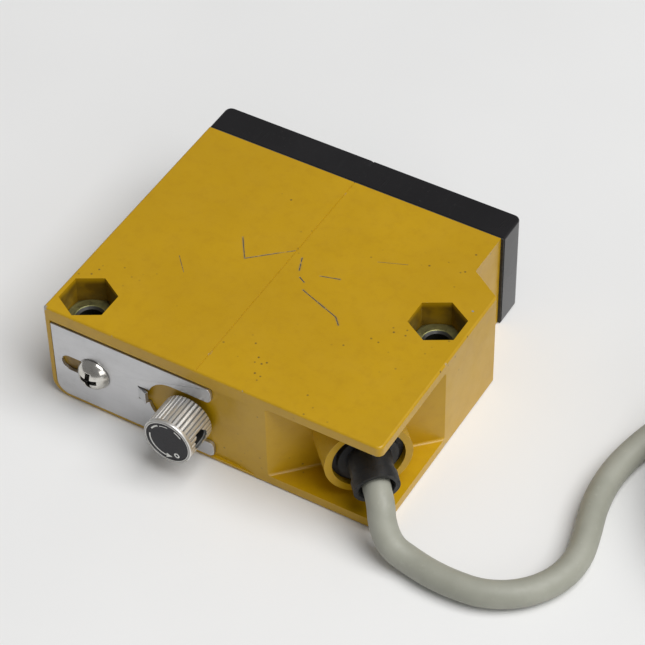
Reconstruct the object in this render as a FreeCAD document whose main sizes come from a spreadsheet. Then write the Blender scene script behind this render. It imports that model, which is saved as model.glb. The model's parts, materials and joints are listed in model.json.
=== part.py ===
"""Flat photoelectric sensor: painted die-cast case, black optical window, knurled sensitivity knob with a
sliding lock plate, two M5 nuts in hexagonal pockets, and a cable that leaves a 45 degree niche.

Millimetres. +Z up, origin at the centre of the case's bottom face, knob side towards -Y, optical side
towards +Y.
Lengths inside the case are measured from its left, front and bottom faces.
"""
import FreeCAD
import Part
import Sketcher
import math
import os
from FreeCAD import Placement, Rotation, Vector

DIMENSIONS = {
    # case
    "case_width": 60.4,         # left to right over the wide part
    "total_depth": 54.6,        # knob face to the outer face of the optical window
    "case_depth": 48.5,         # knob face to the rim that the window closes
    "case_height": 19.0,
    "narrow_width": 54.8,       # left to right at the optical side
    "shoulder_start": 36.4,     # where the right side starts to step in
    "shoulder_end": 40.0,
    "wall": 1.8,
    "front_wall": 2.2,
    "edge_round": 0.4,
    "foot_round": 3.0,          # long lower left edge
    # niche for the cable
    "niche_leg": 20.1,          # along both sides of the cut corner
    "niche_floor": 2.0,
    "niche_roof": 1.95,
    "boss_radius": 7.0,
    "boss_length": 7.3,
    "gland_seat_radius": 5.8,
    "gland_seat_start": 2.5,
    "gland_passage_radius": 3.2,
    # M5 mounting holes with nut pockets
    "nut_left": 5.0,
    "nut_left_depth": 5.3,
    "nut_right": 54.9,
    "nut_right_depth": 27.4,
    "nut_flats": 8.0,
    "nut_height": 4.0,
    "nut_pocket_flats": 8.1,
    "nut_pocket_depth": 8.6,
    "mount_hole_radius": 2.65,
    # lock plate, its recess and screw
    "control_height": 8.55,     # height of the slot, the fork and the knob's axis
    "recess_depth": 0.45,
    "recess_left": 1.0,
    "recess_right": 34.0,       # where the recess starts to run out
    "recess_runout": 4.2,
    "recess_low": 0.75,
    "recess_high": 16.4,
    "plate_left": 1.25,
    "plate_length": 29.4,
    "plate_width": 15.1,
    "plate_gauge": 0.6,
    "slot_left": 2.7,
    "slot_length": 8.1,
    "slot_width": 3.1,
    "screw_left": 8.82,
    "fork_left": 23.5,
    "fork_width": 9.2,
    # knob and potentiometer
    "knob_left": 26.55,
    "knob_radius": 4.28,
    "knob_length": 6.2,
    "knob_gap": 0.5,
    "shaft_radius": 1.5,
    "shaft_clearance": 0.06,
    # optical window
    "window_left": 0.1,
    "window_width": 55.3,
    "window_wall": 1.6,
    "gasket_gauge": 0.3,
    "sight_left": 28.0,         # optical centre, marked by a groove on the case and a notch in the window
    # optics
    "emitter_left": 14.4,
    "receiver_left": 41.0,
    "optic_height": 9.5,
    "lens_radius": 7.0,
    # circuit board
    "board_low": 4.2,
    "board_gauge": 1.0,
    # cable
    "cable_diameter": 4.4,
    "coil_left": 128.9,
    "coil_depth": 42.0,
    "coil_outer": 35.2,
    "coil_inner": 17.6,
}

doc = FreeCAD.newDocument("photoelectric_sensor")
sheet = doc.addObject("Spreadsheet::Sheet", "dims")
for row, (alias, number) in enumerate(DIMENSIONS.items(), start=1):
    sheet.set(f"A{row}", alias.replace("_", " "))
    sheet.set(f"B{row}", str(number))
    sheet.setAlias(f"B{row}", alias)
doc.recompute()


class Size:
    """A length that carries its number and the sheet expression that gives it."""

    def __init__(self, value, text):
        self.value = value
        self.text = text

    def __add__(self, other):
        other = as_size(other)
        return Size(self.value + other.value, f"({self.text} + {other.text})")

    def __sub__(self, other):
        other = as_size(other)
        return Size(self.value - other.value, f"({self.text} - {other.text})")

    def __mul__(self, factor):
        return Size(self.value * factor, f"({self.text} * {factor})")

    def __neg__(self):
        return self * -1


def as_size(length):
    """A plain number as a Size."""
    return length if isinstance(length, Size) else Size(float(length), f"({float(length)})")


def dim(alias):
    """The sheet's length of that name."""
    return Size(float(sheet.get(alias)), f"dims.{alias}")


LEFT = dim("case_width") * -0.5
RIGHT = dim("case_width") * 0.5
FRONT = dim("total_depth") * -0.5
BACK = dim("total_depth") * 0.5
TOP = dim("case_height")
HEX_CORNERS = [math.radians(30 + 60 * k) for k in range(6)]
UP = Vector(0, 0, 1)
FORWARD = Vector(0, 1, 0)
CABLE_WAY = Vector(1, -1, 0).normalize()      # the cable leaves square to the niche's slanted wall
nodes = {}


def bind(thing, **lengths):
    """Binds properties of a document object to sheet expressions."""
    for name, length in lengths.items():
        thing.setExpression(name, as_size(length).text)
    return thing


def place(thing, at, turn=Rotation()):
    """Puts an object at a bound position with a fixed rotation."""
    at = [as_size(length) for length in at]
    thing.Placement = Placement(Vector(*[length.value for length in at]), turn)
    for axis, length in zip("xyz", at):
        thing.setExpression(f"Placement.Base.{axis}", length.text)
    return thing


def along(direction):
    """The rotation that turns +Z to a direction."""
    return Rotation(UP, direction)


def node(label, thing):
    """Names a finished sub-part."""
    thing.Label = label
    nodes[label] = thing
    return thing


# Part primitives and booleans

def block(name, x, y, z):
    """A box given by its two bound limits along each axis."""
    limits = [(as_size(a), as_size(b)) for a, b in (x, y, z)]
    box = doc.addObject("Part::Box", name)
    bind(box, Length=limits[0][1] - limits[0][0], Width=limits[1][1] - limits[1][0],
         Height=limits[2][1] - limits[2][0])
    return place(box, [low for low, high in limits])


def rod(name, radius, length, at, direction=UP):
    """A cylinder from a bound point along a direction."""
    cylinder = doc.addObject("Part::Cylinder", name)
    bind(cylinder, Radius=radius, Height=length)
    return place(cylinder, at, along(direction))


def fuse(name, things):
    joined = doc.addObject("Part::MultiFuse", name)
    joined.Shapes = things
    return joined


def cut(name, base, tools):
    """The base without its tools."""
    removed = doc.addObject("Part::Cut", name)
    removed.Base = base
    removed.Tool = tools[0] if len(tools) == 1 else fuse(name + "_tools", tools)
    return removed


# PartDesign bodies

def new_body(label):
    return node(label, doc.addObject("PartDesign::Body", label))


def new_sketch(body, name, role, height=0.0):
    """A sketch on one of the body's own origin planes, lifted along the plane's normal."""
    plane = next(feature for feature in body.Origin.OriginFeatures if feature.Role == role)
    height = as_size(height)
    sketch = body.newObject("Sketcher::SketchObject", name)
    sketch.AttachmentSupport = [(plane, "")]
    sketch.MapMode = "FlatFace"
    sketch.AttachmentOffset = Placement(Vector(0, 0, height.value), Rotation())
    sketch.setExpression("AttachmentOffset.Base.z", height.text)
    return sketch


def fix(sketch, kind, element, length):
    """Adds a constraint on one element and binds it."""
    constraint = sketch.addConstraint(Sketcher.Constraint(kind, *element, length.value))
    sketch.setExpression(f"Constraints[{constraint}]", length.text)


def outline(sketch, corners):
    """A closed polygon whose corners are bound."""
    corners = [(as_size(a), as_size(b)) for a, b in corners]
    points = [Vector(a.value, b.value, 0) for a, b in corners]
    lines = [sketch.addGeometry(Part.LineSegment(points[k - 1], points[k]), False)
             for k in range(len(points))]
    for k, line in enumerate(lines):
        following = lines[(k + 1) % len(lines)]
        sketch.addConstraint(Sketcher.Constraint("Coincident", line, 2, following, 1))
    for line, (across, upward) in zip(lines, corners):
        fix(sketch, "DistanceX", (-1, 1, line, 2), across)
        fix(sketch, "DistanceY", (-1, 1, line, 2), upward)
    return sketch


def rectangle(sketch, x, y):
    return outline(sketch, [(x[0], y[0]), (x[1], y[0]), (x[1], y[1]), (x[0], y[1])])


def ring(sketch, centre, radius):
    """A bound circle."""
    across, upward, radius = (as_size(length) for length in (*centre, radius))
    circle = sketch.addGeometry(Part.Circle(Vector(across.value, upward.value, 0), UP, radius.value), False)
    fix(sketch, "Radius", (circle,), radius)
    fix(sketch, "DistanceX", (-1, 1, circle, 3), across)
    fix(sketch, "DistanceY", (-1, 1, circle, 3), upward)
    return sketch


def pad(body, sketch, length):
    feature = body.newObject("PartDesign::Pad", sketch.Name + "_pad")
    feature.Profile = sketch
    bind(feature, Length=length)
    doc.recompute()
    return feature


def pocket(body, sketch, depth, forwards=False):
    """Cuts against the sketch's normal, or along it, and makes sure that something was cut."""
    before = body.Shape.Volume
    feature = body.newObject("PartDesign::Pocket", sketch.Name + "_pocket")
    feature.Profile = sketch
    feature.Reversed = forwards
    bind(feature, Length=depth)
    doc.recompute()
    assert body.Shape.Volume < before - 1e-4, f"{sketch.Name} cuts nothing"
    return feature


def plug(body, name, kind, radius, length, at, direction):
    """An additive or subtractive cylinder in a body."""
    feature = body.newObject(f"PartDesign::{kind}Cylinder", name)
    bind(feature, Radius=radius, Height=length)
    place(feature, at, along(direction))
    doc.recompute()
    return feature


def soften(body, name, radius, wanted):
    """Rounds the edges of the body that a test on their middle point and direction picks."""
    tip = body.Tip
    edges = []
    for number, edge in enumerate(tip.Shape.Edges, start=1):
        middle = edge.valueAt((edge.FirstParameter + edge.LastParameter) / 2)
        heading = edge.tangentAt((edge.FirstParameter + edge.LastParameter) / 2)
        if wanted(middle, heading):
            edges.append(f"Edge{number}")
    assert edges, f"{name} picks no edge"
    feature = body.newObject("PartDesign::Fillet", name)
    feature.Base = (tip, edges)
    bind(feature, Radius=radius)
    doc.recompute()
    assert "Invalid" not in feature.State, f"{name} failed"
    return feature


def near(a, b, room=0.02):
    return abs(a - b) < room


# Free-form tubes

def rounded_path(points):
    """Straight runs joined by tangent arcs, each arc as large as its two runs allow."""
    edges, radii, start = [], [], points[0]
    for before, corner, after in zip(points, points[1:], points[2:]):
        arriving, leaving = corner - before, after - corner
        half_turn = arriving.getAngle(leaving) / 2
        tangent = 0.45 * min(arriving.Length, leaving.Length)
        radius = tangent / math.tan(half_turn)
        first = corner - Vector(arriving).normalize() * tangent
        last = corner + Vector(leaving).normalize() * tangent
        inward = (Vector(leaving).normalize() - Vector(arriving).normalize()).normalize()
        middle = corner + inward * (radius / math.cos(half_turn) - radius)
        edges += [Part.LineSegment(start, first).toShape(), Part.Arc(first, middle, last).toShape()]
        radii.append(radius)
        start = last
    edges.append(Part.LineSegment(start, points[-1]).toShape())
    return Part.Wire(edges), radii


def tube(label, points, radius):
    """A round tube along a rounded path."""
    path, radii = rounded_path(points)
    start = points[1] - points[0]
    section = Part.Wire([Part.Circle(points[0], start, radius).toShape()])
    shape = path.makePipeShell([section], True, True)
    expected = math.pi * radius ** 2 * path.Length
    assert abs(shape.Volume / expected - 1) < 0.01, f"{label}: volume is off"
    print(f"{label}: length {path.Length:.1f}, radii {[round(r, 1) for r in radii]}")
    feature = doc.addObject("Part::Feature", label)
    feature.Shape = shape
    return node(label, feature)


# Points of the niche: distance out of the slanted wall, sideways along it, and height

WALL_MIDDLE = Vector(RIGHT.value - dim("niche_leg").value / 2, FRONT.value + dim("niche_leg").value / 2, 0)
SIDEWAYS = Vector(1, 1, 0).normalize()


def niche_point(out, height, sideways=0.0):
    return WALL_MIDDLE + CABLE_WAY * out + SIDEWAYS * sideways + UP * height


def niche_place(out, height):
    """The same point on the niche's centre line as bound lengths."""
    reach = dim("niche_leg") * 0.5
    step = out * (1 / math.sqrt(2)) if isinstance(out, Size) else as_size(out / math.sqrt(2))
    return [RIGHT - reach + step, FRONT + reach - step, height]


NUTS = [(LEFT + dim("nut_left"), FRONT + dim("nut_left_depth")),
        (LEFT + dim("nut_right"), FRONT + dim("nut_right_depth"))]
BOARD_POSTS = [(LEFT + 14.5, FRONT + 16.0), (LEFT + 35.9, FRONT + 30.2)]
KNOB_X = LEFT + dim("knob_left")
CONTROL_Z = dim("control_height")


def hexagon(sketch, centre, flats):
    corner = flats * (1 / math.sqrt(3))
    return outline(sketch, [(centre[0] + corner * math.cos(turn), centre[1] + corner * math.sin(turn))
                            for turn in HEX_CORNERS])


def build_housing():
    """Die-cast case, open towards the optical side."""
    body = new_body("housing")
    left_in = LEFT + dim("wall")
    narrow = LEFT + dim("narrow_width")
    rim = FRONT + dim("case_depth")
    leg = dim("niche_leg")
    pad(body, outline(new_sketch(body, "case_outline", "XY_Plane"), [
        (LEFT, FRONT), (RIGHT, FRONT), (RIGHT, FRONT + dim("shoulder_start")),
        (narrow, FRONT + dim("shoulder_end")), (narrow, rim), (LEFT, rim)]), TOP)
    niche = outline(new_sketch(body, "niche", "XY_Plane", dim("niche_floor")), [
        (RIGHT - leg - 1, FRONT - 1), (RIGHT + 1, FRONT - 1), (RIGHT + 1, FRONT + leg + 1)])
    pocket(body, niche, TOP - dim("niche_floor") - dim("niche_roof"), forwards=True)
    soften(body, "niche_roots", 0.5, lambda at, way: near(abs(way.x), abs(way.y))
           and 0.5 < at.z < TOP.value - 0.5 and abs(way.z) < 0.1)
    soften(body, "niche_lips", 1.1, lambda at, way: near(at.x, RIGHT.value) and near(at.y, FRONT.value)
           and near(abs(way.z), 1))

    post_side = LEFT + 48.5
    cavity = outline(new_sketch(body, "cavity", "XY_Plane", dim("wall")), [
        (LEFT + 10.4, FRONT + dim("front_wall")), (LEFT + 39.3, FRONT + dim("front_wall")),
        (LEFT + 52.6, FRONT + 15.5), (LEFT + 52.6, FRONT + 19.8), (post_side, FRONT + 21.5),
        (post_side, FRONT + 33.5), (narrow - dim("wall"), FRONT + 37.2),
        (narrow - dim("wall"), rim + 1), (left_in, rim + 1), (left_in, FRONT + 11.0),
        (LEFT + 10.4, FRONT + 11.0)])
    pocket(body, cavity, TOP - dim("wall") * 2, forwards=True)

    centre = dim("optic_height")
    plug(body, "gland_boss", "Additive", dim("boss_radius"), dim("boss_length") + 1.5,
         niche_place(-1.5, centre), CABLE_WAY)
    plug(body, "gland_seat", "Subtractive", dim("gland_seat_radius"), dim("boss_length"),
         niche_place(dim("gland_seat_start"), centre), CABLE_WAY)
    plug(body, "gland_passage", "Subtractive", dim("gland_passage_radius"), 9,
         niche_place(-5, centre), CABLE_WAY)

    for number, centre in enumerate(NUTS, start=1):
        shaft = ring(new_sketch(body, f"mount_hole_{number}", "XY_Plane", TOP), centre,
                     dim("mount_hole_radius"))
        pocket(body, shaft, TOP)
        seat = hexagon(new_sketch(body, f"nut_pocket_{number}", "XY_Plane", TOP), centre,
                       dim("nut_pocket_flats"))
        pocket(body, seat, dim("nut_pocket_depth"))

    for number, centre in enumerate(BOARD_POSTS, start=1):
        post = ring(new_sketch(body, f"board_post_{number}", "XY_Plane", dim("wall") - 0.2), centre, 2.2)
        pad(body, post, dim("board_low") - dim("wall") + 0.2)
        thread = ring(new_sketch(body, f"board_thread_{number}", "XY_Plane", dim("board_low")), centre, 1.0)
        pocket(body, thread, 1.8)

    depth = FRONT + dim("recess_depth")
    end = LEFT + dim("recess_right")
    recess = outline(new_sketch(body, "plate_recess", "XY_Plane", dim("recess_low")), [
        (LEFT + dim("recess_left"), FRONT - 1), (end + dim("recess_runout"), FRONT - 1),
        (end + dim("recess_runout"), FRONT), (end, depth), (LEFT + dim("recess_left"), depth)])
    pocket(body, recess, dim("recess_high") - dim("recess_low"), forwards=True)
    soften(body, "recess_corner", 2.4, lambda at, way: near(abs(way.y), 1) and near(
        at.x, LEFT.value + dim("recess_left").value) and near(at.z, dim("recess_low").value))
    soften(body, "foot_edge", dim("foot_round"),
           lambda at, way: near(at.x, LEFT.value) and near(at.z, 0) and near(abs(way.y), 1))
    shaft_hole = ring(new_sketch(body, "shaft_hole", "XZ_Plane", -FRONT), (KNOB_X, CONTROL_Z),
                      dim("shaft_radius") + dim("shaft_clearance"))
    pocket(body, shaft_hole, 3)
    screw_hole = ring(new_sketch(body, "lock_screw_hole", "XZ_Plane", -FRONT),
                      (LEFT + dim("screw_left"), CONTROL_Z), 1.5)
    pocket(body, screw_hole, 3.8)

    soften(body, "front_left_edge", dim("edge_round"), lambda at, way: near(at.x, LEFT.value) and near(
        at.y, FRONT.value) and near(abs(way.z), 1))
    height = TOP.value
    soften(body, "top_edges", dim("edge_round"), lambda at, way: near(at.z, height) and (
        near(at.x, RIGHT.value) or near(at.y, FRONT.value)))
    sight = LEFT + dim("sight_left")
    groove = rectangle(new_sketch(body, "sighting_groove", "XY_Plane", TOP), (sight - 0.09, sight + 0.09),
                       (FRONT - 1, rim + 1))
    pocket(body, groove, 0.12)
    return body


def build_window():
    """Black cap over the optical side, hollow towards the case."""
    body = new_body("optical_window")
    start = FRONT + dim("case_depth") + dim("gasket_gauge")
    left = LEFT + dim("window_left")
    right = left + dim("window_width")
    wall = dim("window_wall")
    pad(body, rectangle(new_sketch(body, "window_outline", "XY_Plane"), (left, right), (start, BACK)), TOP)
    soften(body, "window_corners", 1.2, lambda at, way: near(at.y, BACK.value) and near(abs(way.z), 1))
    soften(body, "window_edges", 0.35, lambda at, way: near(at.y, BACK.value) and not near(abs(way.z), 1))
    hollow = rectangle(new_sketch(body, "window_hollow", "XZ_Plane", -start), (left + wall, right - wall),
                       (wall, TOP - wall))
    pocket(body, hollow, BACK - start - wall)
    sight = LEFT + dim("sight_left")
    notch = outline(new_sketch(body, "sight_notch", "XZ_Plane", -BACK), [
        (sight - 0.9, TOP + 0.1), (sight + 0.3, TOP + 0.1), (sight + 0.3, TOP - 0.35),
        (sight + 0.1, TOP - 0.4)])
    pocket(body, notch, 1.6, forwards=True)
    return body


def build_gasket():
    left = LEFT + dim("window_left") + 0.1
    right = left + dim("window_width") - 0.2
    depth = (FRONT + dim("case_depth"), FRONT + dim("case_depth") + dim("gasket_gauge"))
    wall = dim("window_wall")
    node("window_gasket", cut("gasket_cut", block("gasket_blank", (left, right), depth, (0.1, TOP - 0.1)), [
        block("gasket_opening", (left + wall, right - wall), (depth[0] - 1, depth[1] + 1),
              (wall, TOP - wall))]))


def build_nuts():
    """Two M5 nuts with chamfered bores, in one node."""
    shapes = []
    low = TOP - dim("nut_pocket_depth")
    for number, centre in enumerate(NUTS, start=1):
        nut = doc.addObject("Part::Prism", f"nut_blank_{number}")
        nut.Polygon = 6
        bind(nut, Circumradius=dim("nut_flats") * (1 / math.sqrt(3)), Height=dim("nut_height"))
        place(nut, [*centre, low], Rotation(UP, 30))
        dome = doc.addObject("Part::Cone", f"nut_dome_{number}")
        bind(dome, Radius1=11.18, Radius2=3.9, Height=4.2)
        place(dome, [*centre, low + dim("nut_height") - 4.2])
        trimmed = doc.addObject("Part::Common", f"nut_trim_{number}")
        trimmed.Base, trimmed.Tool = nut, dome
        countersink = doc.addObject("Part::Cone", f"nut_countersink_{number}")
        bind(countersink, Radius1=2.1, Radius2=2.7, Height=0.35)
        place(countersink, [*centre, low + dim("nut_height") - 0.33])
        bore = rod(f"nut_bore_{number}", 2.1, 6, [*centre, low - 1])
        shapes.append(cut(f"nut_{number}", trimmed, [bore, countersink]))
    node("mounting_nuts", fuse("nut_pair", shapes))


def build_lock_plate():
    """Sheet-metal fork that slides to the right until its bent tooth grips the knob's knurl."""
    body = new_body("lock_plate")
    gauge = dim("plate_gauge")
    face = -(FRONT + dim("recess_depth") - 0.05 - gauge)
    left, low = LEFT + dim("plate_left"), CONTROL_Z - dim("plate_width") * 0.5
    right, high = left + dim("plate_length"), low + dim("plate_width")
    half = dim("fork_width") * 0.5
    pad(body, rectangle(new_sketch(body, "plate_outline", "XZ_Plane", face - gauge), (left, right),
                        (low, high)), gauge)
    fork = LEFT + dim("fork_left")
    gap = rectangle(new_sketch(body, "fork_gap", "XZ_Plane", face), (fork, right + 1),
                    (CONTROL_Z - half, CONTROL_Z + half))
    pocket(body, gap, gauge)
    pocket(body, ring(new_sketch(body, "fork_end", "XZ_Plane", face), (fork, CONTROL_Z), half), gauge)
    slot = LEFT + dim("slot_left") + dim("slot_width") * 0.5
    slot_end = slot + dim("slot_length") - dim("slot_width")
    radius = dim("slot_width") * 0.5
    pocket(body, ring(new_sketch(body, "slot_start", "XZ_Plane", face), (slot, CONTROL_Z), radius), gauge)
    pocket(body, ring(new_sketch(body, "slot_stop", "XZ_Plane", face), (slot_end, CONTROL_Z), radius), gauge)
    middle = rectangle(new_sketch(body, "slot_middle", "XZ_Plane", face), (slot, slot_end),
                       (CONTROL_Z - radius, CONTROL_Z + radius))
    pocket(body, middle, gauge)
    soften(body, "plate_corner", 2.2, lambda at, way: near(abs(way.y), 1) and near(at.x, left.value)
           and near(at.z, low.value))
    soften(body, "tine_tips", 1.0, lambda at, way: near(abs(way.y), 1) and near(at.x, right.value))
    # the tooth: a tongue cut free from the plate and bent outwards
    tooth = fork - half
    root, lowest, height = tooth - 1.8, CONTROL_Z - 0.95, 2.3
    gap = rectangle(new_sketch(body, "tooth_gap", "XZ_Plane", face), (root, tooth + 0.8),
                    (lowest - 0.25, lowest + height + 0.25))
    pocket(body, gap, gauge)
    outer, inner = FRONT + dim("recess_depth") - 0.05 - gauge, FRONT + dim("recess_depth") - 0.05
    tongue = outline(new_sketch(body, "tooth", "XY_Plane", lowest), [
        (root - 0.5, outer), (root, outer), (tooth - 0.05, outer - 0.7), (tooth + 0.12, inner - 0.74),
        (root, inner), (root - 0.5, inner)])
    pad(body, tongue, height)
    return body


def build_lock_screw():
    """M3 pan head screw with a cross recess."""
    x = LEFT + dim("screw_left")
    face = FRONT + dim("recess_depth") - 0.05 - dim("plate_gauge")
    head_low = face - 0.05
    dome = doc.addObject("Part::Sphere", "screw_dome")
    bind(dome, Radius=3.1)
    place(dome, [x, head_low + 1.0, CONTROL_Z])
    rim = rod("screw_rim", 2.9, 2.2, [x, head_low, CONTROL_Z], -FORWARD)
    head = doc.addObject("Part::Common", "screw_head")
    head.Base, head.Tool = dome, rim
    shank = rod("screw_shank", 1.45, 4.0, [x, head_low - 0.1, CONTROL_Z], FORWARD)
    wings = [block(f"recess_{number}", (x - across, x + across), (head_low - 3, head_low - 1.0),
                   (CONTROL_Z - upward, CONTROL_Z + upward))
             for number, (across, upward) in enumerate([(1.5, 0.42), (0.42, 1.5)], start=1)]
    node("lock_plate_screw", cut("screw_cut", fuse("screw_blank", [head, shank]), wings))


def build_knob():
    """Knurled knob with a plain rim, a seat for the dial disc, a shaft bore and a set screw hole."""
    body = new_body("knob")
    radius = dim("knob_radius")
    back = -(FRONT - dim("knob_gap"))
    face = back + dim("knob_length")
    centre = (KNOB_X, CONTROL_Z)
    pad(body, ring(new_sketch(body, "knob_blank", "XZ_Plane", back), centre, radius), dim("knob_length"))
    soften(body, "knob_rims", 0.22, lambda at, way: near(at.y, -face.value) or near(at.y, -back.value))
    pocket(body, ring(new_sketch(body, "disc_seat", "XZ_Plane", face), centre, radius - 0.45), 0.5)
    pocket(body, ring(new_sketch(body, "shaft_bore", "XZ_Plane", back), centre, dim("shaft_radius")), 4.6,
           forwards=True)
    plug(body, "set_screw_hole", "Subtractive", 1.65, 5, [KNOB_X, -back - 3.1, CONTROL_Z],
         Vector(1, 0, -0.03))
    return body


def knurl(body):
    """Straight V grooves round the knob, short of the plain rim at its face."""
    radius = dim("knob_radius")
    back = -(FRONT - dim("knob_gap"))
    groove = outline(new_sketch(body, "knurl_groove", "XZ_Plane", back - 0.1), [
        (KNOB_X - 0.27, CONTROL_Z + radius + 0.05), (KNOB_X, CONTROL_Z + radius - 0.26),
        (KNOB_X + 0.27, CONTROL_Z + radius + 0.05)])
    feature = pocket(body, groove, dim("knob_length") - 0.55, forwards=True)
    axis_sketch = new_sketch(body, "knurl_axis", "XZ_Plane", back)
    axis_sketch.AttachmentOffset = Placement(Vector(KNOB_X.value, CONTROL_Z.value, back.value), Rotation())
    bind(axis_sketch, **{"AttachmentOffset.Base.x": KNOB_X, "AttachmentOffset.Base.y": CONTROL_Z})
    ring(axis_sketch, (0, 0), radius)
    pattern = body.newObject("PartDesign::PolarPattern", "knurl_pattern")
    pattern.Originals = [feature]
    pattern.Axis = (axis_sketch, ["N_Axis"])
    pattern.Angle = 360
    pattern.Occurrences = 36
    body.Tip = pattern
    doc.recompute()
    return pattern


def build_adjuster():
    """What turns with the knob besides the knob: dial disc, set screw, shaft and wiper."""
    back = FRONT - dim("knob_gap")
    face = back - dim("knob_length")
    node("knob_disc", rod("disc", dim("knob_radius") - 0.48, 0.38, [KNOB_X, face + 0.5, CONTROL_Z], -FORWARD))
    way = Vector(1, 0, -0.03).normalize()
    lean = [KNOB_X + way.x * 1.5, back - 3.1, CONTROL_Z + way.z * 1.5]
    screw = rod("set_screw_blank", 1.62, 1.2, lean, way)
    socket = rod("set_screw_socket", 0.6, 1.2, [KNOB_X + way.x * 1.9, back - 3.1, CONTROL_Z + way.z * 1.9],
                 way)
    bore = rod("set_screw_clearance", dim("shaft_radius"), 6, [KNOB_X, back, CONTROL_Z], -FORWARD)
    node("knob_set_screw", cut("set_screw_cut", screw, [socket, bore]))
    shaft = rod("shaft_blank", dim("shaft_radius"), 14.0, [KNOB_X, back - 4.5, CONTROL_Z], FORWARD)
    node("adjuster_shaft", shaft)
    disc = rod("wiper_disc", 3.3, 0.8, [KNOB_X, FRONT + 6.2, CONTROL_Z], FORWARD)
    bore = rod("wiper_bore", dim("shaft_radius"), 4, [KNOB_X, FRONT + 5, CONTROL_Z], FORWARD)
    node("wiper", cut("wiper_cut", disc, [bore]))


def build_potentiometer():
    """Fixed body of the potentiometer with three terminals, and the O-ring that seals its shaft."""
    outer = rod("potentiometer_case", 4.5, 6.6, [KNOB_X, FRONT + 3.2, CONTROL_Z], FORWARD)
    chamber = rod("wiper_chamber", 3.6, 1.6, [KNOB_X, FRONT + 5.8, CONTROL_Z], FORWARD)
    bore = rod("potentiometer_bore", dim("shaft_radius") + dim("shaft_clearance"), 7.0,
               [KNOB_X, FRONT + 2.5, CONTROL_Z], FORWARD)
    pins = [block(f"potentiometer_pin_{number}", (KNOB_X + side - 0.3, KNOB_X + side + 0.3),
                  (FRONT + 9.5, FRONT + 14.5),
                  (dim("board_low") + dim("board_gauge"), dim("board_low") + 1.4))
            for number, side in enumerate((-2.5, 0, 2.5), start=1)]
    node("potentiometer_body", fuse("potentiometer", [
        cut("potentiometer_hollow", outer, [chamber, bore]), *pins]))
    seal = doc.addObject("Part::Torus", "shaft_seal")
    bind(seal, Radius1=2.11, Radius2=0.5)
    place(seal, [KNOB_X, FRONT + 2.7, CONTROL_Z], along(FORWARD))
    node("shaft_seal", seal)


def build_optics():
    """Lens carrier with two tunnels, lenses, emitter, receiver and the receiver's screen."""
    height = dim("optic_height")
    start, rim = FRONT + 37.2, FRONT + dim("case_depth") - 0.1
    carrier = block("carrier_blank", (LEFT + 2.1, LEFT + dim("narrow_width") - 2.1), (start, rim),
                    (2.0, TOP - 2.0))
    tools = []
    for name in ("emitter", "receiver"):
        x = LEFT + dim(f"{name}_left")
        tools += [rod(f"{name}_tunnel", 5.6, 9, [x, start + 2.4, height], FORWARD),
                  rod(f"{name}_seat", dim("lens_radius") + 0.05, 4, [x, rim - 2.6, height], FORWARD),
                  rod(f"{name}_hole", 2.55, 9, [x, start - 1, height], FORWARD)]
        lens_disc = rod(f"{name}_lens_disc", dim("lens_radius"), 4.4, [x, rim - 2.6, height], FORWARD)
        curve = doc.addObject("Part::Sphere", f"{name}_lens_curve")
        bind(curve, Radius=12.2)
        place(curve, [x, rim - 2.6 + 4.4 - 12.2, height])
        lens = doc.addObject("Part::Common", f"{name}_lens_form")
        lens.Base, lens.Tool = lens_disc, curve
        node(f"{name}_lens", lens)
    node("optics_block", cut("carrier", carrier, tools))

    board_top = dim("board_low") + dim("board_gauge")
    x = LEFT + dim("emitter_left")
    dome = doc.addObject("Part::Sphere", "led_dome")
    bind(dome, Radius=2.4)
    place(dome, [x, start + 2.6, height])
    legs = [block(f"led_leg_{number}", (x + side - 0.25, x + side + 0.25), (start - 4.5, start - 4.0),
                  (board_top, height)) for number, side in enumerate((-1.27, 1.27), start=1)]
    node("emitter_led", fuse("led", [rod("led_case", 2.4, 6.6, [x, start - 4.0, height], FORWARD),
                                     rod("led_flange", 2.9, 1.0, [x, start - 4.0, height], FORWARD),
                                     dome, *legs]))
    x = LEFT + dim("receiver_left")
    eye = rod("photodiode_case", 2.4, 3.6, [x, start - 2.6, height], FORWARD)
    legs = [block(f"diode_leg_{number}", (x + side - 0.25, x + side + 0.25), (start - 3.1, start - 2.5),
                  (board_top, height)) for number, side in enumerate((-1.27, 1.27), start=1)]
    node("photodiode", fuse("diode", [eye, *legs]))
    can = block("can_blank", (x - 4.2, x + 4.2), (start - 5.0, start - 0.2), (board_top, TOP - 3.6))
    space = block("can_space", (x - 3.9, x + 3.9), (start - 4.7, start - 0.5), (board_top - 1, TOP - 3.9))
    window = rod("can_window", 2.45, 2, [x, start - 1, height], FORWARD)
    node("receiver_shield", cut("can", can, [space, window]))


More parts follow.
